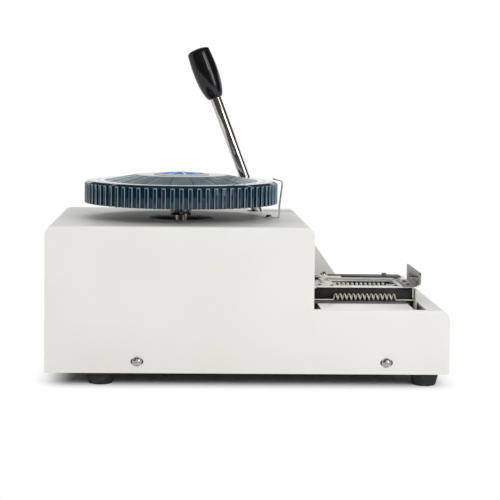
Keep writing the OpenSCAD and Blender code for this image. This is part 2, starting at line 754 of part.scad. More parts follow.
// Outline of the grip: a barrel that is widest above its middle, under a shallow dome
function grip_radius(t) = (grip_d[0] + (grip_d[1] - grip_d[0]) * sin(130 * pow(t, 0.7))) / 2;
function grip_outline() =
    let (z0 = lever_l - grip_l, z1 = lever_l - grip_dome)
    concat(
        [[0, z0], [grip_d[0] / 2 - 1, z0], [grip_d[0] / 2, z0 + 1]],
        [for (i = [1:12]) let (t = i / 12) [grip_radius(t), z0 + 1 + (z1 - z0 - 1) * t]],
        [for (i = [1:5]) let (a = 18 * i) [grip_radius(1) * cos(a), z1 + grip_dome * sin(a)]]);

module lever_hub() color([0.35, 0.36, 0.38]) raised() difference() {
    union() {
        rod_along_y(hub_r, lever_y - 9, lever_y + 9, pivot_x, pivot_z);
        at_lever() translate([0, 0, 8]) cylinder(r = 10, h = 16);
        at_lever() rotate([0, 180, 0]) translate([-5, -3, 10]) cube([10, 6, 20]);
    }
    rod_along_y(shaft_r, lever_y - 12, lever_y + 12, pivot_x, pivot_z);
    at_lever() translate([0, 0, shaft_r + 1]) cylinder(d = lever_d, h = 40);
    at_lever() rotate([0, 180, 0]) translate([0, -5, 25]) rotate([-90, 0, 0]) cylinder(r = 1.6, h = 10);
}

module lever_shaft() color([0.70, 0.71, 0.72]) raised()
    rod_along_y(shaft_r, shaft_y[0], shaft_y[1], pivot_x, pivot_z);

// The cam's radius grows evenly with its angle, so that the push rod rises evenly with the pull
function cam_point(a) = (cam_r + stroke * a / pull) * [cos(90 + a), sin(90 + a)];

module lever_cam() color([0.60, 0.61, 0.63]) raised() difference() {
    along_y(cam_y[0], cam_y[1]) translate([pivot_x, pivot_z]) polygon(concat(
        [for (a = [0:5:pull]) cam_point(a)],
        [[-cam_r * 0.6, -cam_r * 0.6], [0, -cam_r * 0.7], [cam_r * 0.6, 0]]));
    rod_along_y(shaft_r, cam_y[0] - 1, cam_y[1] + 1, pivot_x, pivot_z);
}

module lever_spring() color([0.7, 0.7, 0.7]) raised()
    translate([tail_x + 6, lever_y, tail_z - 1]) rotate([0, 4, 0])
    coil([12, 68], 4, 1.4, [0.6, lever_anchor[0] - 4.6 - tail_x - 6], 14);

// Ram and rocker

module push_rod() color([0.65, 0.66, 0.68]) raised() translate([pivot_x, (cam_y[0] + cam_y[1]) / 2, 0])
    translate([0, 0, pivot_z + cam_r + gap]) cylinder(r = 4, h = push_rod_top - pivot_z - cam_r - gap);

module rocker() color([0.42, 0.43, 0.45]) raised() {
    rod_along_y(5, turret_y - 6, cam_y[1] + 2, rocker_x, rocker_z);
    along_y(turret_y - 6, turret_y + 6) rocker_arm(punch_x, rocker_z + 1);
    along_y(cam_y[0], cam_y[1] + 2) rocker_arm(pivot_x, rocker_z - 1);
}

// Arm from the rocker's shaft to a rounded nose at x, z
module rocker_arm(x, z) {
    translate([rocker_x, rocker_z]) circle(8);
    translate([x, z]) circle(rocker_nose_r);
    polygon([[rocker_x, rocker_z - 4], [x, z - rocker_nose_r + 0.4], [x, z + rocker_nose_r - 0.4],
        [rocker_x, rocker_z + 8]]);
}

module ram() color([0.68, 0.69, 0.71]) raised() translate([punch_x, turret_y, 0]) {
    ram_z = punch_top + stroke + gap;
    translate([0, 0, ram_z]) cylinder(r = ram_r, h = ram_head_z - ram_z + eps);
    translate([0, 0, ram_head_z]) cylinder(r = 10, h = rocker_z + 1 - rocker_nose_r - gap - ram_head_z);
}

module ram_spring() color([0.7, 0.7, 0.7]) raised()
    translate([punch_x, turret_y, deck_plate_z[1]]) rotate([0, -90, 0])
        wire(helix_points([0.7, 6.3], 8.6, 3), helix_outs(3), 0.5);

// Moving part of the carriage

module carriage_plate() color([0.86, 0.86, 0.83]) raised() difference() {
    union() {
        box(carriage_x, carriage_y, carriage_z);
        box([carriage_x[0], carriage_x[0] + 2], [-69, -61.5], [spring_z - 5.4, carriage_z[0] + eps]);
        box([carriage_x[0], carriage_x[0] + 10], [-69, -61], carriage_z);
        translate([pawl_pivot[0], pawl_pivot[1], carriage_z[0]]) cylinder(r = 2 - fit, h = 5.5);
    }
    linear_extrude_at([carriage_z[0] - 1, carriage_z[1] + 1]) polygon(window);
    for (p = concat([for (y = end_screw_y) [end_screw_x, y]], plate_screw_at))
        translate([p[0], p[1], carriage_z[0] - 1]) cylinder(r = small_hole_r, h = 4);
    rod_along_x(1, carriage_x[0] - 1, carriage_x[0] + 3, spring_y, spring_z - spring_mean_r);
}

module runners() color([0.20, 0.20, 0.21]) raised() {
    for (y = rod_y) difference() {
        box([122.5, 168], [y - 6, y + 6], [bed_z[1] + 1.5, carriage_z[0]]);
        rod_along_x(rod_r + fit, 120, 170, y, rod_z);
    }
}

module line_rack() color([0.88, 0.88, 0.87]) raised() difference() {
    along_y(rack_y[0], rack_y[1]) difference() {
        union() {
            translate([rack_x[0] + 0.3, rack_low]) square([rack_x[1] - rack_x[0], rack_top - rack_low]);
            translate([rack_x[0] - 8, rack_low])
                square([rack_x[1] - rack_x[0] + 20, carriage_z[0] - rack_low]);
        }
        for (i = [0:lines - 1])
            translate([first_notch_x - 1.2 + i * line_pitch, rack_top - 3.4]) square([2.4, 10]);
    }
}

module line_latch() color([0.40, 0.41, 0.42]) raised() {
    along_x(first_notch_x - 0.9, first_notch_x + 0.9) polygon([
        [-28, 82.4], [-23, 82.4], [-22, 96], [-24, 97.6], [rack_y[1] + gap, 97.6], [rack_y[1] + gap, 96],
        [-28.4, 94.5]]);
    rod_along_x(1.5 - fit, first_notch_x - 3.4, first_notch_x + 3.4, latch_pivot[0], latch_pivot[1]);
}

module end_plate() color([0.62, 0.62, 0.61]) raised() difference() {
    union() {
        along_x(carriage_x[1] - 1, carriage_x[1] + 1) polygon([
            [-7, carriage_z[1]], [-7, 116.3], [-92, 116.3], [-94, 114.3], [-94, 104.3], [-68, 98.6],
            [-60, carriage_z[1]]]);
        box([174, carriage_x[1]], [-70, -12], [carriage_z[1], carriage_z[1] + 1]);
    }
    for (y = end_screw_y) translate([end_screw_x, y, carriage_z[0]]) cylinder(r = small_hole_r, h = 9);
    along_x(carriage_x[1] - 2, carriage_x[1] - 1 + mark_d)
        polygon([[-33, 104.6], [-80, 110.2], [-80, 111.8], [-33, 106.2]]);
}

module end_plate_screws() color([0.75, 0.75, 0.73]) raised() {
    for (y = end_screw_y) translate([end_screw_x, y, carriage_z[1] + 1]) cross_screw(3.4, 1.5, 1.5, 3);
    for (p = plate_screw_at) translate([p[0], p[1], carriage_z[1]]) cross_screw(2.5, 1.3, 1.5, 2);
}

// Cross slide that carries the tag

module slide_gibs() color([0.84, 0.83, 0.80]) raised() {
    for (x = [[slide_x[0] - 3.7, slide_x[0] - gap], [slide_x[1] + gap, slide_x[1] + 1.8]])
        box(x, [-20, carriage_y[1]], [carriage_z[1], slide_z[1] - 0.6]);
}

module letter_pawl() color([0.30, 0.30, 0.31]) raised() {
    thick = [carriage_z[1] + 0.2, carriage_z[1] + 2.4];
    difference() {
        union() {
            linear_extrude_at(thick) polygon([
                [pawl_pivot[0] - 4, pawl_pivot[1]], [pawl_pivot[0] + 4.5, pawl_pivot[1]],
                [letter_rack_x[0] - 2.2, -9], [letter_rack_x[0] - 1.7, -10.6],
                [letter_rack_x[0] - gap, -12], [letter_rack_x[0] - 4, -11]]);
            translate([pawl_pivot[0], pawl_pivot[1], thick[0]]) cylinder(r = 5, h = thick[1] - thick[0]);
        }
        translate([pawl_pivot[0], pawl_pivot[1], carriage_z[0]]) cylinder(r = 2, h = 9);
    }
}

module letter_slide() color([0.84, 0.83, 0.80]) raised() box(slide_x, slide_y, slide_z);

module clamp_bar() color([0.20, 0.19, 0.18]) raised() difference() {
    box([97, 181.7], [0, 20], [slide_z[1], slide_z[1] + clamp_bar_t]);
    translate([clamp_screw_at[1][0], clamp_screw_at[1][1], slide_z[1] - 1])
        cylinder(r = small_hole_r, h = 4);
}

module clamp_screws() color([0.75, 0.75, 0.73]) raised() {
    translate([clamp_screw_at[0][0], clamp_screw_at[0][1], jaw_z[1]]) cross_screw(4, 3.6, 1.5, 1.8);
    translate([clamp_screw_at[1][0], clamp_screw_at[1][1], slide_z[1] + clamp_bar_t])
        cross_screw(3.8, 2.4, 1.5, 1.1);
}

// Arm with a slit for the edge of the tag, over a strip of teeth for the letter pawl
module tag_jaw() color([0.70, 0.70, 0.69]) raised() difference() {
    union() {
        box([88, 112], jaw_y, [slide_z[1], jaw_z[0] + 0.3]);
        box([60.5, 96], jaw_y, jaw_z);
        box(letter_rack_x, [-36, 17], [slide_z[0], slide_z[1] + eps]);
        box([letter_rack_x[0] + 2.5, letter_rack_x[1]], jaw_y, [slide_z[0], jaw_z[0] + 0.1]);
    }
    box([60, 84], [jaw_y[0] - 1, jaw_y[1] + 1], [tag_z - 0.4, tag_z + 0.4]);
    linear_extrude_at([slide_z[0] - 1, slide_z[1] + 1]) for (k = [-8:8])
        translate([letter_rack_x[0], -12 + k * letter_pitch]) polygon([[-1, -2], [-1, 2], [1.6, 0]]);
    translate([clamp_screw_at[0][0], clamp_screw_at[0][1], jaw_z[1] - 2]) cylinder(r = small_hole_r, h = 4);
}

housing();
base_plate();
feet();
foot_screws();
case_screws();
case_nuts();
turret_frame();
spindle_bushes();
press_frame();
anvil();
lever_bracket();
lever_bushes();
frame_bolts();
bed_plate();
spring_tray();
apron_bar();
guide_rods();
rod_blocks();
spring_bracket();
spring_guide_screw();
carriage_spring();
pointer();
pointer_screw();
spring_posts();
detent_spring();
ram_spring();
lever_spring();
dial();
dial_label();
dial_nut();
dial_collar();
spindle();
punch_wheel();
punches();
die_wheel();
dies();
index_wheel();
wheel_spacers();
wheel_nut();
lever_rod();
lever_grip();
lever_hub();
lever_shaft();
lever_cam();
push_rod();
rocker();
ram();
detent_arm();
line_latch();
carriage_plate();
runners();
line_rack();
end_plate();
end_plate_screws();
slide_gibs();
letter_pawl();
letter_slide();
clamp_bar();
clamp_screws();
tag_jaw();
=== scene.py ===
import json
import math

import bmesh
import bpy
from mathutils import Matrix, Vector

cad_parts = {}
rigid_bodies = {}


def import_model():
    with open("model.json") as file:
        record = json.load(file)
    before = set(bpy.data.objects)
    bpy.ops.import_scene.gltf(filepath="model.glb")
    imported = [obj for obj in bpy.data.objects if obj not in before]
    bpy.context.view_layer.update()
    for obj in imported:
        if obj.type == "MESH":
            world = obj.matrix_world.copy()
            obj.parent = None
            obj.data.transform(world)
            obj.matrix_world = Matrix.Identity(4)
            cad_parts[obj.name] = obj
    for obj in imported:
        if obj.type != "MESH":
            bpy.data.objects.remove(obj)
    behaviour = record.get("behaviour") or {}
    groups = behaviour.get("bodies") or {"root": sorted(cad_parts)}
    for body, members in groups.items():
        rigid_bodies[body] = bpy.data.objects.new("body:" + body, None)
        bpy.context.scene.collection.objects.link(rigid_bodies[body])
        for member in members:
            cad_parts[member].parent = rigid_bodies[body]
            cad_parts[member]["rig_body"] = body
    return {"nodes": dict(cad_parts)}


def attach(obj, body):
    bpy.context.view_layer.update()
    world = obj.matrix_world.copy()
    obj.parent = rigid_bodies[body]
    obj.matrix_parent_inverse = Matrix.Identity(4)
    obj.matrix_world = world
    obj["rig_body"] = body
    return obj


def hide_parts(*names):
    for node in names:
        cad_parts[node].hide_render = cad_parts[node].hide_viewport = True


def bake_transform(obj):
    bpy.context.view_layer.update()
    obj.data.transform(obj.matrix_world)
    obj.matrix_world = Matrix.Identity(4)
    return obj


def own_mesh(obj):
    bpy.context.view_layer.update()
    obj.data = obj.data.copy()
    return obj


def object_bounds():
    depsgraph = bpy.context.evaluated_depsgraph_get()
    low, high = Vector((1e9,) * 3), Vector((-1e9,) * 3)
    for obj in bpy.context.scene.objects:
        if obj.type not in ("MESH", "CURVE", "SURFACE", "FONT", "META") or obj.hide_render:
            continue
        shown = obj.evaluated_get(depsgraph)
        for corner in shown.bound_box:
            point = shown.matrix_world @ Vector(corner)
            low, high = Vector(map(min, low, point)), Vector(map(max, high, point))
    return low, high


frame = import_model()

cad_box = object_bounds()

# Camera: the machine is seen square on to its long side, from a little above the dial, through a
# long lens. The view is turned down and to the right by a few degrees and shifted by the rest.

camera_data = bpy.data.cameras.new("photo_view")
camera_data.lens = 103.98
camera_data.sensor_width = 36
camera_data.shift_x, camera_data.shift_y = 0.07, -0.14
camera = bpy.data.objects.new("photo_view", camera_data)
bpy.context.scene.collection.objects.link(camera)
bpy.context.scene.camera = camera
bpy.context.scene.view_settings.view_transform = "Standard"
camera_place = (-0.0754, -1.6427, 0.3096)
camera_turn, camera_dip, camera_roll = map(math.radians, (1.475, 3.389, 0.595))
camera.matrix_world = (
    Matrix.Translation(camera_place)
    @ Matrix.Rotation(-camera_turn, 4, "Z")
    @ Matrix.Rotation(math.pi / 2 - camera_dip, 4, "X")
    @ Matrix.Rotation(camera_roll, 4, "Z")
)

# Studio: a white floor that keeps the machine's soft shadow and fades to the white of the room, a
# strip lamp on each side of the camera, soft lamps low in front, behind and above, and dark cards
# that only reflections show.


def linear(red, green, blue):
    """The linear colour of an 8-bit screen colour."""
    return tuple(
        c / 12.92 if c <= 0.04045 else ((c + 0.055) / 1.055) ** 2.4
        for c in (red / 255, green / 255, blue / 255)
    ) + (1.0,)


class Wire:
    """One socket in a finish's nodes. Sums and products with it add the nodes that they need."""

    def __init__(self, tree, socket):
        self.tree, self.socket = tree, socket

    def node(self, kind, settings=None, inputs=None, output=0):
        """A node of the same tree: its settings first, then its sockets' values or wires."""
        made = self.tree.nodes.new("ShaderNode" + kind)
        for key, value in (settings or {}).items():
            setattr(made, key, value)
        for key, value in (inputs or {}).items():
            if isinstance(value, Wire):
                self.tree.links.new(value.socket, made.inputs[key])
            else:
                made.inputs[key].default_value = value
        return Wire(self.tree, made.outputs[output])

    def other(self, output):
        """Another output of this wire's node."""
        return Wire(self.tree, self.socket.node.outputs[output])

    def math(self, operation, *values):
        """A math node on wires or numbers."""
        return self.node("Math", {"operation": operation}, dict(enumerate(values)))

    def apply(self, operation, *values):
        """This wire through a math node, with any further values."""
        return self.math(operation, self, *values)

    def __add__(self, other):
        return self.math("ADD", self, other)

    def __radd__(self, other):
        return self.math("ADD", other, self)

    def __sub__(self, other):
        return self.math("SUBTRACT", self, other)

    def __rsub__(self, other):
        return self.math("SUBTRACT", other, self)

    def __mul__(self, other):
        return self.math("MULTIPLY", self, other)

    def __rmul__(self, other):
        return self.math("MULTIPLY", other, self)

    def __gt__(self, other):
        return self.math("GREATER_THAN", self, other)

    def __lt__(self, other):
        return self.math("LESS_THAN", self, other)

    def ramp(self, low, high):
        """0 before low, 1 beyond high and smooth between. High may be the lower number."""
        inputs = {"Value": self, "From Min": low, "From Max": high}
        return self.node("MapRange", {"interpolation_type": "SMOOTHSTEP"}, inputs)

    def between(self, low, high):
        """Colour low where this wire is 0, colour high where it is 1."""
        return self.node("Mix", {"data_type": "RGBA"}, {0: self, 6: low, 7: high}, output=2)

    def vector(self, operation, value):
        """This vector through a vector math node, with a fixed vector."""
        return self.node("VectorMath", {"operation": operation}, {0: self, 1: tuple(value)})

    def reach_from(self, axis):
        """The distance of this place from an upright axis."""
        level = self.vector("SUBTRACT", axis).vector("MULTIPLY", (1, 1, 0))
        return self.node("VectorMath", {"operation": "LENGTH"}, {0: level}, output=1)

    def split(self):
        """The three numbers of a vector."""
        x = self.node("SeparateXYZ", inputs={0: self})
        return x, x.other(1), x.other(2)

    def grain(self, scale, detail=3.0, rough=0.5, stretch=(1, 1, 1)):
        """Noise at this place, with about scale features a metre along each axis of stretch."""
        place = self.vector("MULTIPLY", stretch)
        inputs = {"Vector": place, "Scale": scale, "Detail": detail, "Roughness": rough}
        return self.node("TexNoise", inputs=inputs)


def finish(name):
    """A new material: its principled shader, and the place in the machine's frame as a wire."""
    material = bpy.data.materials.new(name)
    material.use_nodes = True
    tree = material.node_tree
    shader = tree.nodes["Principled BSDF"]
    place = Wire(tree, tree.nodes.new("ShaderNodeTexCoord").outputs["Object"])
    return material, shader, place


def feed(shader, bump=None, **inputs):
    """Sets or links the shader's sockets. bump is (height wire, strength, distance in metres)."""
    tree = shader.id_data
    for key, value in inputs.items():
        socket = shader.inputs[key.replace("_", " ").title().replace("Ior", "IOR")]
        if isinstance(value, Wire):
            tree.links.new(value.socket, socket)
        else:
            socket.default_value = value
    if bump:
        height, strength, distance = bump
        normal = height.node(
            "Bump", inputs={"Height": height, "Strength": strength, "Distance": distance}
        )
        tree.links.new(normal.socket, shader.inputs["Normal"])


def from_shape(name, shape):
    """A new object in the scene with the mesh of a bmesh, which is freed."""
    mesh = bpy.data.meshes.new(name)
    shape.to_mesh(mesh)
    shape.free()
    piece = bpy.data.objects.new(name, mesh)
    bpy.context.scene.collection.objects.link(piece)
    return piece


def lamp(name, place, aim, size, power):
    """A soft box: its place and aim, its width and height, and its power in watts."""
    data = bpy.data.lights.new(name, "AREA")
    data.shape, data.size, data.size_y, data.energy = "RECTANGLE", *size, power
    box = bpy.data.objects.new(name, data)
    bpy.context.scene.collection.objects.link(box)
    box.location = place
    box.rotation_euler = (Vector(aim) - Vector(place)).to_track_quat("-Z", "Y").to_euler()


lamp("strip_lamp_right", (1.20, -1.10, 0.80), (0.0, 0, 0.15), (0.36, 1.3), 5)
lamp("strip_lamp_left", (-1.6, -0.75, 0.9), (-0.05, 0, 0.15), (0.45, 1.3), 3.5)
lamp("soft_lamp_top", (0.0, 0.1, 1.9), (0, 0, 0.1), (1.6, 1.2), 2)
lamp("soft_lamp_front", (0.45, -1.70, 0.95), (0, 0, 0.15), (1.4, 0.5), 12)
lamp("soft_lamp_back", (0.0, 1.2, 1.45), (0, 0, 0.15), (1.6, 0.5), 8)

# The room is white where it is seen, straight on or in a reflection, and lights the machine less.
room_level = 0.45
world = bpy.data.worlds.new("white_room")
bpy.context.scene.world = world
world.use_nodes = True
seen = Wire(world.node_tree, None).node("LightPath", output="Is Camera Ray")
seen_or_mirrored = seen.apply("MAXIMUM", seen.other("Is Glossy Ray"))
white_seen = seen_or_mirrored.apply("MAXIMUM", seen.other("Is Transmission Ray"))
feed(
    world.node_tree.nodes["Background"],
    color=(1, 1, 1, 1),
    strength=room_level + (1 - room_level) * white_seen,
)

# The floor keeps its shading under the machine, and beyond that it fades to white.
shadow_half_length, shadow_half_width, shadow_fade = 0.185, 0.10, 0.05
floor_shape = bmesh.new()
bmesh.ops.create_grid(floor_shape, x_segments=1, y_segments=1, size=12)
floor = from_shape("studio_floor", floor_shape)
floor.location.z = cad_box[0].z
floor_white, floor_shader, floor_place = finish("studio_floor")
feed(floor_shader, base_color=(0.90, 0.90, 0.90, 1), roughness=0.9, specular_ior_level=0)
floor_x, floor_y, _ = floor_place.split()
beside = (floor_x.apply("ABSOLUTE") - shadow_half_length).apply("MAXIMUM", 0.0)
before = (floor_y.apply("ABSOLUTE") - shadow_half_width).apply("MAXIMUM", 0.0)
away = (beside * beside + before * before).apply("SQRT")
seen_far = floor_place.node("LightPath") * away.ramp(0.0, shadow_fade)
near_floor = Wire(floor_place.tree, floor_shader.outputs[0])
far_floor = floor_place.node("Emission", inputs={"Color": (1, 1, 1, 1), "Strength": 1.0})
feed(
    floor_place.tree.nodes["Material Output"],
    surface=floor_place.node("MixShader", inputs={0: seen_far, 1: near_floor, 2: far_floor}),
)
floor.data.materials.append(floor_white)

# An upright card is an arc round the machine: its reach, its two ends in degrees from the camera's
# side towards the operator, and its top. A round card lies level over the machine.
upright_cards = ((1.15, -78, 27, 1.5), (2.6, 62, 112, 2.2))
card_foot, card_steps = 0.001, 8
round_card_reach, round_card_height = 3.6, 1.3
card_shape = bmesh.new()
for reach, from_turn, to_turn, top in upright_cards:
    strip = []
    for i in range(card_steps + 1):
        turn = math.radians(from_turn + (to_turn - from_turn) * i / card_steps)
        x, y = reach * math.sin(turn), -reach * math.cos(turn)
        strip.append([card_shape.verts.new((x, y, z)) for z in (card_foot, top)])
    for (a, b), (c, d) in zip(strip, strip[1:]):
        card_shape.faces.new((a, c, d, b))
bmesh.ops.create_circle(
    card_shape, cap_ends=True, radius=round_card_reach, segments=48,
    matrix=Matrix.Translation((0, 0, round_card_height)),
)
cards = from_shape("dark_cards", card_shape)
card_dark, card_shader, _ = finish("dark_card")
feed(
    card_shader,
    base_color=(0, 0, 0, 1),
    roughness=1.0,
    emission_color=linear(74, 71, 66),
    emission_strength=1.0,
)
cards.data.materials.append(card_dark)
cards.visible_camera = cards.visible_diffuse = cards.visible_shadow = False

# Cover: one folded and spot-welded sheet of 2 mm steel, powder coated off-white. The coat has a
# fine even texture, and the sheet's bends and cut edges are a little rounded.


def seat(piece, node, material):
    """Puts a made piece in the place of a construction piece, with its finish."""
    piece.data.materials.clear()
    piece.data.materials.append(material)
    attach(piece, frame["nodes"][node]["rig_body"])
    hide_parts(node)
    return piece


def eased(node, width, material, segments=2, least=30):
    """The node's own shape, with its edges sharper than least degrees rounded by width."""
    same_point, same_plane = 3e-6, math.radians(0.6)
    shape = bmesh.new()
    shape.from_mesh(frame["nodes"][node].data)
    bmesh.ops.remove_doubles(shape, verts=shape.verts, dist=same_point)
    bmesh.ops.dissolve_limit(
        shape, angle_limit=same_plane, verts=shape.verts, edges=shape.edges
    )
    for face in shape.faces:
        face.smooth = True
    piece = from_shape(node + "_piece", shape)
    edge = piece.modifiers.new("rounded_edges", "BEVEL")
    edge.width, edge.segments = width, segments
    edge.limit_method, edge.angle_limit = "ANGLE", math.radians(least)
    edge.use_clamp_overlap = True
    edge.harden_normals = True
    edge.miter_outer = "MITER_ARC"
    return seat(piece, node, material)


powder_coat, coat_shader, spot = finish("powder_coat")
speck = spot.grain(2600, 2, 0.6)
cloud = spot.grain(9, 2, 0.5)
coat_tone = (cloud * 0.7 + speck * 0.3).ramp(0.3, 0.7)
feed(
    coat_shader,
    base_color=coat_tone.between(linear(228, 227, 220), linear(234, 233, 227)),
    roughness=0.40 + 0.08 * speck,
    specular_ior_level=0.3,
    bump=(speck, 0.10, 0.00006),
)
cover_piece = eased("housing", 0.0005, powder_coat)
cover_piece.modifiers["rounded_edges"].harden_normals = False
cover_piece.modifiers.new("flat_faces", "WEIGHTED_NORMAL").keep_sharp = True

# Base: a 3 mm steel plate with turned-up flanges, zinc plated, that closes the cover from below.
# The cover hangs on its flanges by four screws.

zinc_plate, zinc_shader, spot = finish("zinc_plate")
spangle = spot.grain(140, 3, 0.6)
feed(
    zinc_shader,
    base_color=spangle.ramp(0.35, 0.65).between(linear(98, 100, 101), linear(124, 126, 127)),
    roughness=0.38 + 0.2 * spangle,
    metallic=1.0,
    bump=(spot.grain(900, 2), 0.08, 0.00005),
)
eased("base_plate", 0.0004, zinc_plate)

# Feet: four tapered black rubber feet, each moulded in one piece and held by a pan-head screw in
# its counterbore. The rubber is matt, a little dusty and slightly uneven from the mould.

foot_rubber, rubber_shader, spot = finish("foot_rubber")
dust = spot.grain(70, 4, 0.65)
pores = spot.grain(1800, 3, 0.6)
feed(
    rubber_shader,
    base_color=dust.ramp(0.35, 0.75).between(linear(40, 41, 42), linear(64, 65, 66)),
    roughness=0.62 + 0.2 * pores,
    specular_ior_level=0.35,
    bump=(pores, 0.25, 0.00008),
)
eased("feet", 0.0009, foot_rubber, segments=3)

# Screws and nuts: M5 round-head screws with a cross recess hold the cover on both long sides, and
# smaller ones the carriage's parts and the pointer. All are bright zinc-plated steel with a little
# wear. The castings and the outer bearing's bracket have blackened hexagon bolts.

bright_zinc, bright_zinc_shader, spot = finish("bright_zinc")
wear = spot.grain(420, 3, 0.6)
feed(
    bright_zinc_shader,
    base_color=wear.ramp(0.35, 0.7).between(linear(196, 195, 188), linear(222, 221, 214)),
    roughness=0.12 + 0.14 * wear,
    metallic=1.0,
    bump=(spot.grain(1500, 2), 0.05, 0.00004),
)
for node, width in (
    ("case_screws", 0.00022), ("foot_screws", 0.00022), ("end_plate_screws", 0.00016),
    ("clamp_screws", 0.00016), ("pointer_screw", 0.00016), ("case_nuts", 0.0003),
):
    eased(node, width, bright_zinc)

black_oxide, black_oxide_shader, spot = finish("black_oxide")
feed(
    black_oxide_shader,
    base_color=spot.grain(260, 3).ramp(0.3, 0.7).between(linear(38, 38, 41), linear(62, 61, 62)),
    roughness=0.34 + 0.2 * spot.grain(500, 2),
    metallic=0.6,
)
eased("frame_bolts", 0.0004, black_oxide)

# Castings: the C-shaped frame of the turret and the press frame are grey iron with hammered grey
# paint, machined where the bushes, the ram and the anvil sit.

hammered_paint, hammered_shader, spot = finish("hammered_paint")
dimple = spot.node(
    "TexVoronoi", {"feature": "SMOOTH_F1"}, {"Vector": spot, "Scale": 260.0, "Smoothness": 0.6}
)
feed(
    hammered_shader,
    base_color=dimple.ramp(0.1, 0.7).between(linear(112, 118, 122), linear(84, 89, 93)),
    roughness=0.30 + 0.15 * dimple,
    bump=(dimple, 0.35, 0.0003),
)
for node in ("turret_frame", "press_frame"):
    eased(node, 0.0014, hammered_paint, segments=3)

# Turned and milled pieces inside: wheels, shafts, cam, rocker, ram and their spacers are mild
# steel, left bright from the lathe or mill with fine tool marks and a film of oil.


def dress(node, material):
    """Gives a construction piece its finish as it is."""
    frame["nodes"][node].data.materials[0] = material


machined_steel, machined_shader, spot = finish("machined_steel")
marks = spot.grain(220, 4, 0.7, (1, 1, 9))
film = spot.grain(30, 3, 0.5)
feed(
    machined_shader,
    base_color=film.ramp(0.35, 0.7).between(linear(150, 150, 150), linear(178, 177, 174)),
    roughness=0.22 + 0.22 * marks,
    metallic=1.0,
    bump=(marks, 0.10, 0.00006),
)
for node, width in (
    ("anvil", 0.0003), ("spindle", 0.0005), ("wheel_spacers", 0.0004), ("wheel_nut", 0.0005),
    ("dial_nut", 0.0005), ("lever_hub", 0.0008), ("lever_shaft", 0.0006), ("lever_cam", 0.0005),
    ("push_rod", 0.0005), ("rocker", 0.0008), ("ram", 0.0004), ("spring_posts", 0.0005),
):
    eased(node, width, machined_steel)
for node in ("punch_wheel", "die_wheel", "index_wheel"):
    eased(node, 0.00025, machined_steel, segments=1)
for node in ("punches", "dies"):
    dress(node, machined_steel)

bearing_bronze, bronze_shader, spot = finish("bearing_bronze")
tarnish = spot.grain(160, 3)
feed(
    bronze_shader,
    base_color=tarnish.ramp(0.3, 0.7).between(linear(176, 138, 78), linear(200, 160, 96)),
    roughness=0.25 + 0.2 * spot.grain(600, 2, 0.5, (1, 1, 6)),
    metallic=1.0,
)
for node in ("spindle_bushes", "lever_bushes"):
    eased(node, 0.0003, bearing_bronze)

# Brackets, blocks and small levers inside: cut and folded from cold-rolled steel sheet, brushed
# along the machine and lightly oiled.

rolled_steel, rolled_shader, spot = finish("rolled_steel")
brushed = spot.grain(60, 4, 0.7, (1, 22, 22))
feed(
    rolled_shader,
    base_color=brushed.ramp(0.3, 0.7).between(linear(138, 140, 142), linear(166, 168, 169)),
    roughness=0.28 + 0.2 * brushed,
    metallic=1.0,
    bump=(brushed, 0.10, 0.00005),
)
for node, width in (
    ("lever_bracket", 0.0006), ("rod_blocks", 0.0003), ("detent_arm", 0.0005),
    ("line_latch", 0.0002),
):
    eased(node, width, rolled_steel)

# Dial: one glossy injection moulding in teal-navy plastic. Its rim has 72 square ribs with rounded
# edges under a plain band, a bevel, a flat ring with printed position numbers, and a cone of 20
# grooved panels.

dial_axis = Vector((-0.0715, -0.010, 0.0))
rib_count, panel_count = 72, 20
rim_low, rib_top, band_top, ring_level, cap_level = 0.1875, 0.2097, 0.2105, 0.2123, 0.2189
rib_reach, root_reach, band_reach, rim_inner = 0.1090, 0.1062, 0.1084, 0.1026
ring_outer, ring_inner, cap_reach = 0.1045, 0.0870, 0.0510
rib_half, edge_round, foot_round = 0.0023, 0.0009, 0.0005
quarter_turn = [math.radians(a) for a in (0, 30, 60, 90)]


def ring_skin(shape, rows):
    """Joins rings of points, each ring a list of the same length, into one closed skin."""
    made = [[shape.verts.new(dial_axis + Vector(point)) for point in row] for row in rows]
    for low, high in zip(made, made[1:] + made[:1]):
        for i in range(len(low)):
            j = (i + 1) % len(low)
            shape.faces.new((low[i], low[j], high[j], high[i]))


def smoothed(shape, crease=math.radians(38)):
    """Turns the faces outwards and shades them smooth, apart from edges sharper than crease."""
    bmesh.ops.recalc_face_normals(shape, faces=shape.faces)
    for face in shape.faces:
        face.smooth = True
    for edge in shape.edges:
        edge.smooth = edge.calc_face_angle(0) < crease
    return shape


# Half a rib and half a gap, as (distance along the rim from the rib's middle, reach from the axis).
section = [(0.0, rib_reach)]
section += [
    (rib_half - edge_round * (1 - math.sin(a)), rib_reach - edge_round * (1 - math.cos(a)))
    for a in quarter_turn
]
section += [
    (rib_half + 0.00005, root_reach + 0.0004),
    (rib_half + 0.00017, root_reach + 0.00012),
    (rib_half + 0.00045, root_reach),
]
mirrored_section = [(-along, reach) for along, reach in section[:0:-1]]
rib_pitch = 2 * math.pi * rib_reach / rib_count
columns = []
for k in range(rib_count):
    for along, reach in mirrored_section + section + [(rib_pitch / 2, root_reach)]:
        columns.append((2 * math.pi * (k + along / rib_pitch) / rib_count, reach))


def rim_row(level, change):
    """One ring of the rim at a level. change gives its reach from the ribs' own reach."""
    return [(change(r) * math.cos(a), change(r) * math.sin(a), level) for a, r in columns]


rim_rows = []
for a in quarter_turn:
    drop, lift = foot_round * (1 - math.sin(a)), foot_round * (1 - math.cos(a))
    rim_rows.append(rim_row(rim_low + lift, lambda r, drop=drop: r - drop))

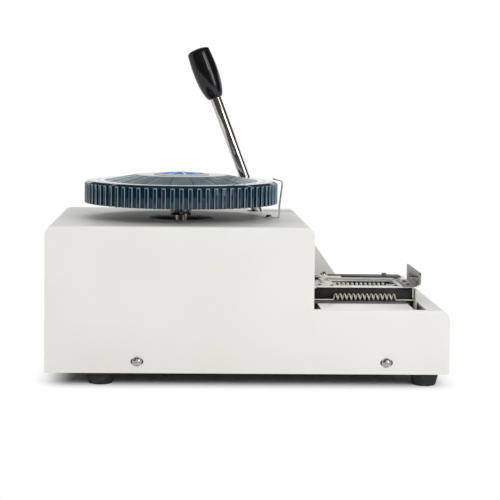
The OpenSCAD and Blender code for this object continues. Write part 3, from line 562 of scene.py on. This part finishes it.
# From the ribs to the band: each level, how far out the ribs reach there, and the share of the gaps
# that is filled.
for level, ribs_to, filled in (
    (rib_top - 0.0006, rib_reach, 0.0), (rib_top - 0.0003, rib_reach - 0.00008, 0.0),
    (rib_top - 0.00008, rib_reach - 0.0003, 0.04), (rib_top, band_reach, 0.86),
    (rib_top + 0.00012, band_reach - 0.00005, 0.97), (rib_top + 0.0003, band_reach, 1.0),
):
    rim_rows.append(rim_row(
        level,
        lambda r, t=ribs_to, f=filled: min(r, t) if r > band_reach else r + (band_reach - r) * f,
    ))

# Over the band, the bevel and the ring, and back down inside the rim: reach and level.
for reach, level in (
    (band_reach, band_top - 0.0003), (band_reach - 0.0001, band_top - 0.0001),
    (band_reach - 0.0005, band_top + 0.0001),
    (ring_outer + 0.0005, ring_level - 0.00028), (ring_outer, ring_level - 0.00008),
    (ring_outer - 0.0006, ring_level), (ring_inner - 0.0002, ring_level),
    (ring_inner - 0.0002, ring_level - 0.0026), (rim_inner - 0.0018, ring_level - 0.0036),
    (rim_inner, rib_top - 0.003), (rim_inner, rim_low + 0.0005),
    (rim_inner + 0.0004, rim_low + 0.0001), (rim_inner + 0.0010, rim_low),
):
    rim_rows.append(rim_row(level, lambda r, reach=reach: reach))

# The top disc's columns stand close together at each groove, where its walls and rounded edges are:
# the distance from the groove's middle, and the share of its depth there.
groove_steps = (
    (0.0, 1.0), (0.00040, 1.0), (0.00054, 0.85), (0.00064, 0.28), (0.00080, 0.06), (0.0011, 0.0)
)
cone_rise = (cap_level - ring_level) / (ring_inner - cap_reach)


def cone_row(reach, level, groove):
    """One ring of the top disc. groove is the grooves' depth at that ring."""
    row = []
    for k in range(panel_count):
        middle = 2 * math.pi * (k + 0.5) / panel_count
        reach_in_panel = max(reach, cap_reach)
        for side in (-1, 1):
            steps = groove_steps[:0:-1] if side < 0 else groove_steps
            for along, share in steps:
                a = middle + side * along / reach_in_panel
                row.append((reach * math.cos(a), reach * math.sin(a), level - groove * share))
        edge = groove_steps[-1][0] / reach_in_panel
        for share in (0.25, 0.5, 0.75):
            a = middle + edge + share * (2 * math.pi / panel_count - 2 * edge)
            row.append((reach * math.cos(a), reach * math.sin(a), level))
    return row


# Up the cone: reach and the grooves' depth.
cone_rows = [
    cone_row(reach, ring_level + (ring_inner - reach) * cone_rise, groove)
    for reach, groove in (
        (0.0876, 0), (0.0869, 0), (0.0864, 0), (0.0860, 0.0009), (0.0852, 0.0010), (0.075, 0.0010),
        (0.064, 0.0010), (0.0534, 0.0010), (0.0526, 0.0009), (0.0522, 0), (0.0516, 0),
    )
]

# Over the cap, down the nut's recess and the bore, round the hub and back under the cone.
recess_reach, recess_level = 0.013, cap_level - 0.008
bore_reach, hub_reach, hub_low = 0.0061, 0.018, 0.1907
cone_rows += [
    cone_row(reach, level, 0)
    for reach, level in (
        (cap_reach, cap_level - 0.00004), (cap_reach - 0.0006, cap_level),
        (recess_reach, cap_level), (recess_reach, recess_level), (bore_reach, recess_level),
        (bore_reach, hub_low), (hub_reach - 0.0005, hub_low), (hub_reach, hub_low + 0.0005),
        (hub_reach, 0.2150), (0.049, 0.2153), (0.085, 0.2087), (0.0876, 0.2092),
    )
]

# Six webs under the cone stiffen it.
web_count, web_middle, web_size = 6, (0.034, 0, 0.2072), (0.036, 0.0024, 0.017)
dial_shape = bmesh.new()
ring_skin(dial_shape, rim_rows)
ring_skin(dial_shape, cone_rows)
for k in range(web_count):
    turn = Matrix.Rotation(2 * math.pi * k / web_count, 4, "Z")
    web = Matrix.Translation(web_middle) @ Matrix.Diagonal((*web_size, 1))
    bmesh.ops.create_cube(
        dial_shape, size=1, matrix=Matrix.Translation(dial_axis) @ turn @ web
    )
dial_piece = from_shape("dial_moulding", smoothed(dial_shape))

dial_plastic, plastic_shader, spot = finish("dial_plastic")
haze = spot.grain(55, 4, 0.6)
scuff = spot.grain(700, 3, 0.65)
mottle = haze.ramp(0.3, 0.7)
radius = spot.reach_from(dial_axis)
level = spot.split()[2]
from_axis_x, from_axis_y, _ = spot.vector("SUBTRACT", dial_axis).split()
bearing = from_axis_y.apply("ARCTAN2", from_axis_x)
across = (bearing * (rib_count / (2 * math.pi)) + 0.5).apply("FRACT")
from_middle = (across - 0.5).apply("ABSOLUTE") * rib_pitch

# The ribs' sides and tops get a painted highlight: pale blue along their rounded edges, where
# they catch the lamps.
below_band = level.ramp(rib_top + 0.0002, rib_top)
at_side = from_middle.ramp(rib_half - 0.0010, rib_half - 0.0005)
at_top = level.ramp(rib_top - 0.0012, rib_top - 0.0007)
at_top = at_top * from_middle.ramp(rib_half + 0.0003, rib_half)
on_face = radius.ramp(rib_reach - 0.0009, rib_reach - 0.0006)
rib_edge_highlight = at_side.apply("MAXIMUM", at_top) * on_face * below_band
dial_colour = mottle.between(linear(10, 32, 44), linear(14, 40, 53))
# The painted highlight's pale blue goes in here, varied a little by the scuff noise.
dial_colour = (rib_edge_highlight * (0.75 + 0.5 * scuff)).between(dial_colour, linear(118, 152, 170))

# The flat ring's pale silvery colour is a painted reflection of the white room, which the ring
# mirrors at a low angle. The cone is greyer, and the gaps between the ribs get a painted shade.
on_ring = radius.ramp(ring_outer - 0.0004, ring_outer - 0.0008)
on_ring = on_ring * radius.ramp(ring_inner, ring_inner + 0.0004)
on_ring = on_ring * level.ramp(ring_level - 0.0004, ring_level - 0.0001)
ring_painted_reflection = mottle.between(linear(188, 196, 206), linear(204, 211, 219))
dial_colour = on_ring.between(dial_colour, ring_painted_reflection)
on_cone = radius.ramp(0.0872, 0.0868) * radius.ramp(0.0500, 0.0512)
cone_grey = mottle.between(linear(84, 106, 114), linear(94, 117, 125))
dial_colour = on_cone.between(dial_colour, cone_grey)
# Painted shade: the gaps between the ribs get a flat dark navy in place of the mottled plastic.
in_gap = radius.ramp(0.1083, 0.1068) * below_band * radius.ramp(0.1045, 0.1052)
dial_colour = in_gap.between(dial_colour, linear(12, 34, 46))
feed(
    plastic_shader,
    base_color=dial_colour,
    roughness=0.035 + 0.03 * haze + on_cone * (0.14 + 0.12 * scuff),
    ior=1.49,
    bump=(scuff * on_cone, 0.05, 0.00004),
)
seat(dial_piece, "dial", dial_plastic)

# Position numbers: plain figures 1 to 72 with a tick each, screen printed in dark blue on the flat
# ring, whose pale colour is a painted reflection.

figure_size, figure_reach, ink_level = 0.0046, 0.0945, ring_level + 0.00004
tick_from, tick_to, tick_half = 0.0990, 0.1030, 0.0002
number_shape = bmesh.new()
for k in range(rib_count):
    figure = bpy.data.curves.new(f"figure_{k + 1}", "FONT")
    figure.body, figure.size = str(k + 1), figure_size
    figure.align_x, figure.align_y = "CENTER", "CENTER"
    stand_in = bpy.data.objects.new(figure.name, figure)
    printed = bpy.data.meshes.new_from_object(stand_in)
    turn = Matrix.Rotation(2 * math.pi * (k + 0.5) / rib_count, 4, "Z")
    on_turn = Matrix.Translation(dial_axis + Vector((0, 0, ink_level))) @ turn
    printed.transform(
        on_turn @ Matrix.Translation((figure_reach, 0, 0)) @ Matrix.Rotation(math.pi / 2, 4, "Z")
    )
    number_shape.from_mesh(printed)
    bpy.data.objects.remove(stand_in)
    bpy.data.meshes.remove(printed)
    number_shape.faces.new([
        number_shape.verts.new(on_turn @ Vector((x, y, 0)))
        for x, y in (
            (tick_from, -tick_half), (tick_to, -tick_half), (tick_to, tick_half),
            (tick_from, tick_half),
        )
    ])
dial_numbers = from_shape("dial_numbers", number_shape)
number_ink, ink_shader, spot = finish("number_ink")
feed(
    ink_shader,
    base_color=spot.grain(900, 2).ramp(0.2, 0.6).between(linear(14, 34, 48), linear(26, 50, 64)),
    roughness=0.35 + 0.1 * spot.grain(500, 2),
)
dial_numbers.data.materials.append(number_ink)
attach(dial_numbers, "turret")

# Centre label: a printed disc under a low dome of clear resin, blue with white spokes round a red
# centre, inside a pale yellow border.

spoke_count, spoke_half, print_soft = 8, 0.00115, 0.0001
centre_reach, centre_rim_reach, border_from = 0.0061, 0.0073, 0.0253
label_film, label_shader, spot = finish("label_film")
label_x, label_y, _ = spot.vector("SUBTRACT", dial_axis).split()
radius = spot.reach_from(dial_axis)
bearing = label_y.apply("ARCTAN2", label_x)
sector = (bearing * (spoke_count / (2 * math.pi)) + 0.25).apply("FRACT")
from_spoke = (sector - 0.5).apply("ABSOLUTE") * (2 * math.pi / spoke_count) * radius
spoke = from_spoke.ramp(spoke_half + print_soft, spoke_half - print_soft)
centre = radius.ramp(centre_reach + print_soft, centre_reach - print_soft)
centre_rim = radius.ramp(centre_rim_reach + print_soft, centre_rim_reach - print_soft)
border = radius.ramp(border_from - print_soft, border_from + print_soft)
tint = spot.grain(60, 2)
art = tint.ramp(0.3, 0.7).between(linear(10, 132, 222), linear(20, 146, 232))
art = spoke.between(art, linear(236, 240, 242))
art = centre_rim.between(art, linear(236, 240, 242))
art = centre.between(art, linear(206, 44, 40))
art = border.between(art, linear(206, 208, 186))
feed(
    label_shader,
    base_color=art,
    roughness=0.5 + 0.1 * tint,
    specular_ior_level=0.12,
    bump=(spot.grain(400, 2), 0.04, 0.00003),
)
label_reach, label_foot, label_edge, label_rise, label_sides = 0.0315, -0.0003, 0.0005, 0.0024, 96
label_rows = [
    (0.0004, label_foot), (label_reach, label_foot), (label_reach, label_edge - 0.0001)
]
label_rows += [
    (label_reach * share, label_edge + label_rise * (1 - share * share))
    for share in (0.997, 0.96, 0.9, 0.8, 0.65, 0.5, 0.35, 0.2, 0.1, 0.012)
]
turns = [2 * math.pi * i / label_sides for i in range(label_sides)]
label_shape = bmesh.new()
ring_skin(label_shape, [
    [(r * math.cos(a), r * math.sin(a), cap_level + z) for a in turns] for r, z in label_rows
])
label_piece = from_shape("centre_label", smoothed(label_shape))
seat(label_piece, "dial_label", label_film)

# Chromed pieces: the dial's hub collar, the lever rod and the carriage's two guide rods are ground
# steel with polished chrome.

chrome, chrome_shader, spot = finish("chrome")
swirl = spot.grain(320, 3, 0.6, (1, 1, 0.2))
feed(
    chrome_shader,
    base_color=swirl.ramp(0.3, 0.7).between(linear(214, 211, 205), linear(226, 223, 217)),
    roughness=0.03 + 0.02 * swirl,
    metallic=1.0,
)
eased("dial_collar", 0.0006, chrome, segments=3)
eased("lever_rod", 0.0005, chrome)
eased("guide_rods", 0.0005, chrome)

# Grip: a barrel of black phenolic with a domed end, moulded and polished. It is pressed on the end
# of the lever rod.

phenolic, phenolic_shader, spot = finish("black_phenolic")
rub = spot.grain(90, 4, 0.6)
feed(
    phenolic_shader,
    base_color=rub.ramp(0.3, 0.7).between(linear(12, 11, 12), linear(20, 19, 20)),
    roughness=0.07 + 0.06 * rub,
    ior=1.52,
)
eased("lever_grip", 0.0008, phenolic, segments=3, least=40)

# Pointer: a strip of stainless sheet, bent up beside the dial and in over its rim. One screw holds
# it on the cover.

stainless, stainless_shader, spot = finish("brushed_stainless")
brushing = spot.grain(70, 4, 0.75, (1, 26, 26))
sheen = spot.grain(18, 2)
pointer_tone = (brushing * 0.6 + sheen * 0.4).ramp(0.3, 0.7)
feed(
    stainless_shader,
    base_color=pointer_tone.between(linear(196, 194, 187), linear(222, 220, 213)),
    roughness=0.20 + 0.16 * brushing,
    metallic=1.0,
    bump=(brushing, 0.08, 0.00005),
)
eased("pointer", 0.0002, stainless)

# Carriage bed: a pale folded steel plate, made near-white as painted light where the carriage
# shades it, a grey painted strip under the spring, and a black bar behind it, which carries the
# carriage's front edge. The clamp bar and the letter pawl are painted black as well.

pale_sheet_and_painted_light, pale_sheet_light_shader, spot = finish("pale_sheet_and_painted_light")
rolling = spot.grain(30, 4, 0.7, (1, 14, 14))
# Painted light: the plate's colour is lifted to near-white where the carriage shades it.
feed(
    pale_sheet_light_shader,
    base_color=rolling.ramp(0.3, 0.7).between(linear(244, 242, 236), linear(250, 249, 244)),
    roughness=0.34 + 0.14 * rolling,
    metallic=0.05,
    bump=(rolling, 0.06, 0.00005),
)
eased("bed_plate", 0.0003, pale_sheet_and_painted_light)

grey_satin, grey_shader, spot = finish("grey_satin")
feed(
    grey_shader,
    base_color=spot.grain(120, 3).ramp(0.3, 0.7).between(linear(88, 90, 90), linear(102, 104, 103)),
    roughness=0.34 + 0.14 * spot.grain(800, 2),
)
eased("spring_tray", 0.0003, grey_satin)

black_satin, black_shader, spot = finish("black_satin")
worn = spot.grain(180, 4, 0.65)
feed(
    black_shader,
    base_color=worn.ramp(0.35, 0.75).between(linear(17, 17, 18), linear(30, 30, 31)),
    roughness=0.30 + 0.2 * worn,
    bump=(spot.grain(1500, 2), 0.08, 0.00004),
)
for node, width in (("apron_bar", 0.0004), ("clamp_bar", 0.0003), ("letter_pawl", 0.0002)):
    eased(node, width, black_satin)

# Carriage: a nickel-plated sheet with a window over the line rack, runners of black nylon, and the
# cross slide that carries the tag. At the operator's end stands a thumb plate of brushed steel with
# a groove that is coloured near-black inside.

satin_nickel, nickel_shader, spot = finish("satin_nickel")
brushing = spot.grain(70, 4, 0.75, (1, 26, 26))
feed(
    nickel_shader,
    base_color=brushing.ramp(0.3, 0.7).between(linear(222, 220, 211), linear(240, 238, 230)),
    roughness=0.26 + 0.16 * brushing,
    metallic=0.55,
    bump=(brushing, 0.06, 0.00005),
)
for node, width in (
    ("carriage_plate", 0.00025), ("line_rack", 0.0002), ("slide_gibs", 0.0002),
    ("letter_slide", 0.0003), ("tag_jaw", 0.00015), ("spring_bracket", 0.0003),
):
    eased(node, width, satin_nickel)

groove_low, groove_high = (0.1878, -0.0805, 0.1062), (0.1885, -0.0325, 0.1146)
grained_steel, grained_shader, spot = finish("grained_steel")
grain = spot.grain(80, 4, 0.8, (20, 1, 20))
in_x, in_y, in_z = (
    (along > low) * (along < high)
    for along, low, high in zip(spot.split(), groove_low, groove_high)
)
# Inside the groove the plate is coloured near-black and is not metallic.
in_groove = in_x * in_y * in_z
plate_colour = grain.ramp(0.3, 0.7).between(linear(150, 150, 147), linear(184, 183, 180))
feed(
    grained_shader,
    base_color=in_groove.between(plate_colour, linear(18, 18, 19)),
    roughness=0.30 + 0.2 * grain,
    metallic=1.0 - in_groove,
    bump=(grain, 0.15, 0.00005),
)
eased("end_plate", 0.0003, grained_steel)

black_nylon, nylon_shader, spot = finish("black_nylon")
feed(
    nylon_shader,
    base_color=spot.grain(200, 3).ramp(0.3, 0.7).between(linear(30, 30, 31), linear(40, 40, 41)),
    roughness=0.45 + 0.15 * spot.grain(900, 2),
)
eased("runners", 0.0005, black_nylon)

# Springs: bright drawn wire. The carriage spring's straight ends run to a hole in the carriage's
# ear and one in the fixed bracket. On the machine it stretches between them as the carriage goes
# in, and the ram's spring flattens as the ram comes down.

drawn_wire, wire_shader, spot = finish("drawn_wire")
drawn = spot.grain(900, 2)
feed(
    wire_shader,
    base_color=drawn.ramp(0.3, 0.7).between(linear(226, 221, 208), linear(240, 236, 225)),
    roughness=0.32 + 0.10 * drawn,
    metallic=0.35,
)
for node in ("detent_spring", "lever_spring"):
    dress(node, drawn_wire)
ram_coil = eased("ram_spring", 0.00002, drawn_wire, segments=1, least=85)
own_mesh(ram_coil)

coil_count, coil_reach, wire_radius = 14, 0.00325, 0.00075
spring_height, spring_side = 0.0886, -0.066
coil_low, coil_high, end_low, end_high = 0.097, 0.166, 0.069, 0.1875
bend, end_steps, turn_steps = 0.0012, 6, 20


def spring_route():
    """The wire's middle: a straight end, the coils, and a straight end, with soft bends between."""
    ends = [
        [(start + (stop - start) * i / end_steps, 0.0, -coil_reach) for i in range(end_steps + 1)]
        for start, stop in ((end_low, coil_low - bend), (coil_high + bend, end_high))
    ]
    coils = []
    for i in range(coil_count * turn_steps + 1):
        a = 2 * math.pi * i / turn_steps - math.pi / 2
        along = coil_low + (coil_high - coil_low) * i / (coil_count * turn_steps)
        coils.append((along, coil_reach * math.cos(a), coil_reach * math.sin(a)))
    route = ends[0] + coils + ends[1]
    return [Vector((x, spring_side + y, spring_height + z)) for x, y, z in route]


def tube(points, radius, sides=12):
    """A round wire along the points, closed at both ends."""
    shape = bmesh.new()
    up = Vector((0, 1, 0))
    rings = []
    for i, point in enumerate(points):
        along = (points[min(i + 1, len(points) - 1)] - points[max(i - 1, 0)]).normalized()
        up = (up - up.dot(along) * along).normalized()
        across = along.cross(up)
        rings.append([
            shape.verts.new(point + radius * (math.cos(t) * up + math.sin(t) * across))
            for t in (2 * math.pi * s / sides for s in range(sides))
        ])
    for low, high in zip(rings, rings[1:]):
        for s in range(sides):
            shape.faces.new((low[s], high[s], high[(s + 1) % sides], low[(s + 1) % sides]))
    shape.faces.new(rings[0])
    shape.faces.new(rings[-1][::-1])
    bmesh.ops.recalc_face_normals(shape, faces=shape.faces)
    for face in shape.faces:
        face.smooth = len(face.verts) == 4
    return shape


spring_piece = from_shape("carriage_spring_wire", tube(spring_route(), wire_radius))
spring_piece.data.materials.append(drawn_wire)
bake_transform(spring_piece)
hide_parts("carriage_spring")

# Guide screw: a small brass screw with a cross recess, beneath the spring's first coil. It holds
# the grey strip.

screw_brass, brass_shader, spot = finish("screw_brass")
stain = spot.grain(300, 3)
feed(
    brass_shader,
    base_color=stain.ramp(0.3, 0.7).between(linear(176, 142, 88), linear(200, 166, 110)),
    roughness=0.24 + 0.12 * spot.grain(700, 2),
    metallic=1.0,
)
eased("spring_guide_screw", 0.00016, screw_brass)
